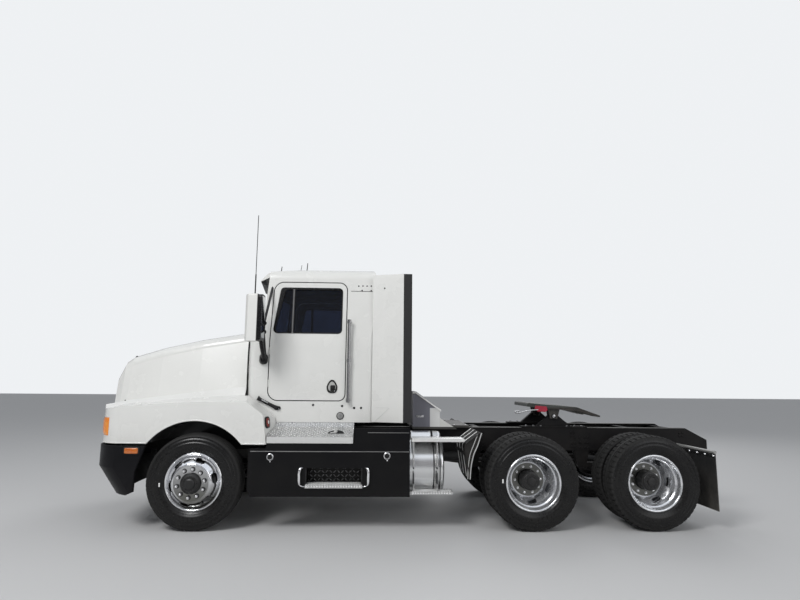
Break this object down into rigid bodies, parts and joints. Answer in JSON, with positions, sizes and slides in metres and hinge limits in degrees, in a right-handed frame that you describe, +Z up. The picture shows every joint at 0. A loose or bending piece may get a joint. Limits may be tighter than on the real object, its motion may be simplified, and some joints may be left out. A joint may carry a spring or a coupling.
{
  "type": "conventional day-cab truck tractor",
  "caption": "White long-nose day-cab truck tractor with a tilting hood, opening doors, steered front wheels, tandem dual rear wheels and a tilting fifth wheel.",
  "frame": {"origin": "on the ground under the middle of the length, on the centre line", "axes": "+X to the rear, +Y to the passenger's side, +Z up"},
  "size_m": [7.1, 2.8482, 3.3505],
  "materials": {
    "tyre_rubber": "worn black tread rubber",
    "polished_aluminium": "polished forged disc",
    "black_steel": "black chassis paint",
    "engine_iron": "painted casting",
    "radiator_core": "dark finned core",
    "white_paint": "gloss white paint",
    "dark_grille": "dark moulded slats",
    "lamp_lens": "clear and amber lens",
    "window_glass": "tinted glass",
    "black_plastic": "moulded black plastic",
    "extender_paint": "white panel with a black rubber edge",
    "mirror_shell": "white shell on black arms",
    "bright_steel": "bright steel",
    "tread_plate": "raised tread plate",
    "tank_aluminium": "polished tank with straps",
    "fender_aluminium": "ribbed sheet",
    "flap_rubber": "black flap on a bright bar",
    "greased_iron": "dark greased casting",
    "seat_cloth": "grey woven cloth",
    "grey_plastic": "grained grey plastic"
  },
  "bodies": {
    "chassis": {"air_tanks": "black_steel", "bumper": "black_plastic", "cab_glass": "window_glass", "cab_shell": "white_paint", "crossmembers": "black_steel", "dashboard": "grey_plastic", "deck": "black_steel", "drive_axles": "black_steel", "fifth_wheel_base": "greased_iron", "frame_rails": "black_steel", "front_axle_beam": "black_steel", "front_springs": "black_steel", "fuel_tanks": "tank_aluminium", "grab_handles": "bright_steel", "hood_hinges": "black_steel", "mirrors": "mirror_shell", "mud_flaps": "flap_rubber", "muffler": "bright_steel", "powertrain_block": "engine_iron", "quarter_fenders": "fender_aluminium", "radiator": "radiator_core", "rear_suspension": "black_steel", "seats": "seat_cloth", "side_extenders": "extender_paint", "side_skirts": "black_plastic", "steps": "tread_plate", "sun_visor": "white_paint"},
    "hood": {"hood": "white_paint", "grille": "dark_grille", "lamps": "lamp_lens"},
    "door_left": {"door_left": "white_paint", "door_glass_left": "window_glass"},
    "door_right": {"door_right": "white_paint", "door_glass_right": "window_glass"},
    "knuckle_left": {"knuckle_left": "black_steel"},
    "knuckle_right": {"knuckle_right": "black_steel"},
    "tie_rod": {"tie_rod": "black_steel"},
    "steering_wheel": {"steering_wheel": "grey_plastic"},
    "wheel_front_left": {"tyre_front_left": "tyre_rubber", "wheel_front_left": "polished_aluminium"},
    "wheel_front_right": {"tyre_front_right": "tyre_rubber", "wheel_front_right": "polished_aluminium"},
    "wheels_mid_left": {"tyres_mid_left": "tyre_rubber", "wheels_mid_left": "polished_aluminium"},
    "wheels_mid_right": {"tyres_mid_right": "tyre_rubber", "wheels_mid_right": "polished_aluminium"},
    "wheels_rear_left": {"tyres_rear_left": "tyre_rubber", "wheels_rear_left": "polished_aluminium"},
    "wheels_rear_right": {"tyres_rear_right": "tyre_rubber", "wheels_rear_right": "polished_aluminium"},
    "fifth_wheel_plate": {"fifth_wheel_plate": "greased_iron"}
  },
  "joints": [
    {"name": "hood_tilt", "type": "hinge", "parent": "chassis", "child": "hood", "pos_m": [-3.46, 0, 0.8], "axis": [0, -1, 0], "range_deg": [0, 75]},
    {"name": "door_left_swing", "type": "hinge", "parent": "chassis", "child": "door_left", "pos_m": [-1.694, -0.984, 1.9], "axis": [0, 0, -1], "range_deg": [0, 70]},
    {"name": "door_right_swing", "type": "hinge", "parent": "chassis", "child": "door_right", "pos_m": [-1.694, 0.984, 1.9], "axis": [0, 0, 1], "range_deg": [0, 70]},
    {"name": "steer_left", "type": "hinge", "parent": "chassis", "child": "knuckle_left", "pos_m": [-2.4, -0.88, 0.5], "axis": [0, 0, 1], "range_deg": [-38, 38]},
    {"name": "steer_right", "type": "hinge", "parent": "chassis", "child": "knuckle_right", "pos_m": [-2.4, 0.88, 0.5], "axis": [0, 0, 1], "range_deg": [-38, 38]},
    {"name": "tie_rod_swing", "type": "hinge", "parent": "knuckle_left", "child": "tie_rod", "pos_m": [-2.19, -0.88, 0.331], "axis": [0, 0, 1], "range_deg": [-38, 38]},
    {"name": "steering_wheel_turn", "type": "hinge", "parent": "chassis", "child": "steering_wheel", "pos_m": [-1.415, -0.48, 2.01], "axis": [0.6691, 0, 0.7431], "range_deg": [-610, 610]},
    {"name": "wheel_front_left_roll", "type": "hinge", "parent": "knuckle_left", "child": "wheel_front_left", "pos_m": [-2.4, -1.05, 0.5], "axis": [0, 1, 0], "continuous": true},
    {"name": "wheel_front_right_roll", "type": "hinge", "parent": "knuckle_right", "child": "wheel_front_right", "pos_m": [-2.4, 1.05, 0.5], "axis": [0, 1, 0], "continuous": true},
    {"name": "wheels_mid_left_roll", "type": "hinge", "parent": "chassis", "child": "wheels_mid_left", "pos_m": [1.198, -0.917, 0.5], "axis": [0, 1, 0], "continuous": true},
    {"name": "wheels_mid_right_roll", "type": "hinge", "parent": "chassis", "child": "wheels_mid_right", "pos_m": [1.198, 0.917, 0.5], "axis": [0, 1, 0], "continuous": true},
    {"name": "wheels_rear_left_roll", "type": "hinge", "parent": "chassis", "child": "wheels_rear_left", "pos_m": [2.518, -0.917, 0.5], "axis": [0, 1, 0], "continuous": true},
    {"name": "wheels_rear_right_roll", "type": "hinge", "parent": "chassis", "child": "wheels_rear_right", "pos_m": [2.518, 0.917, 0.5], "axis": [0, 1, 0], "continuous": true},
    {"name": "fifth_wheel_tilt", "type": "hinge", "parent": "chassis", "child": "fifth_wheel_plate", "pos_m": [1.67, 0, 1.16], "axis": [0, -1, 0], "range_deg": [0, 14]}
  ],
  "couplings": [
    {"joint": "steer_right", "follows": "steer_left", "ratio": 1},
    {"joint": "tie_rod_swing", "follows": "steer_left", "ratio": -1},
    {"joint": "steering_wheel_turn", "follows": "steer_left", "ratio": 16}
  ]
}
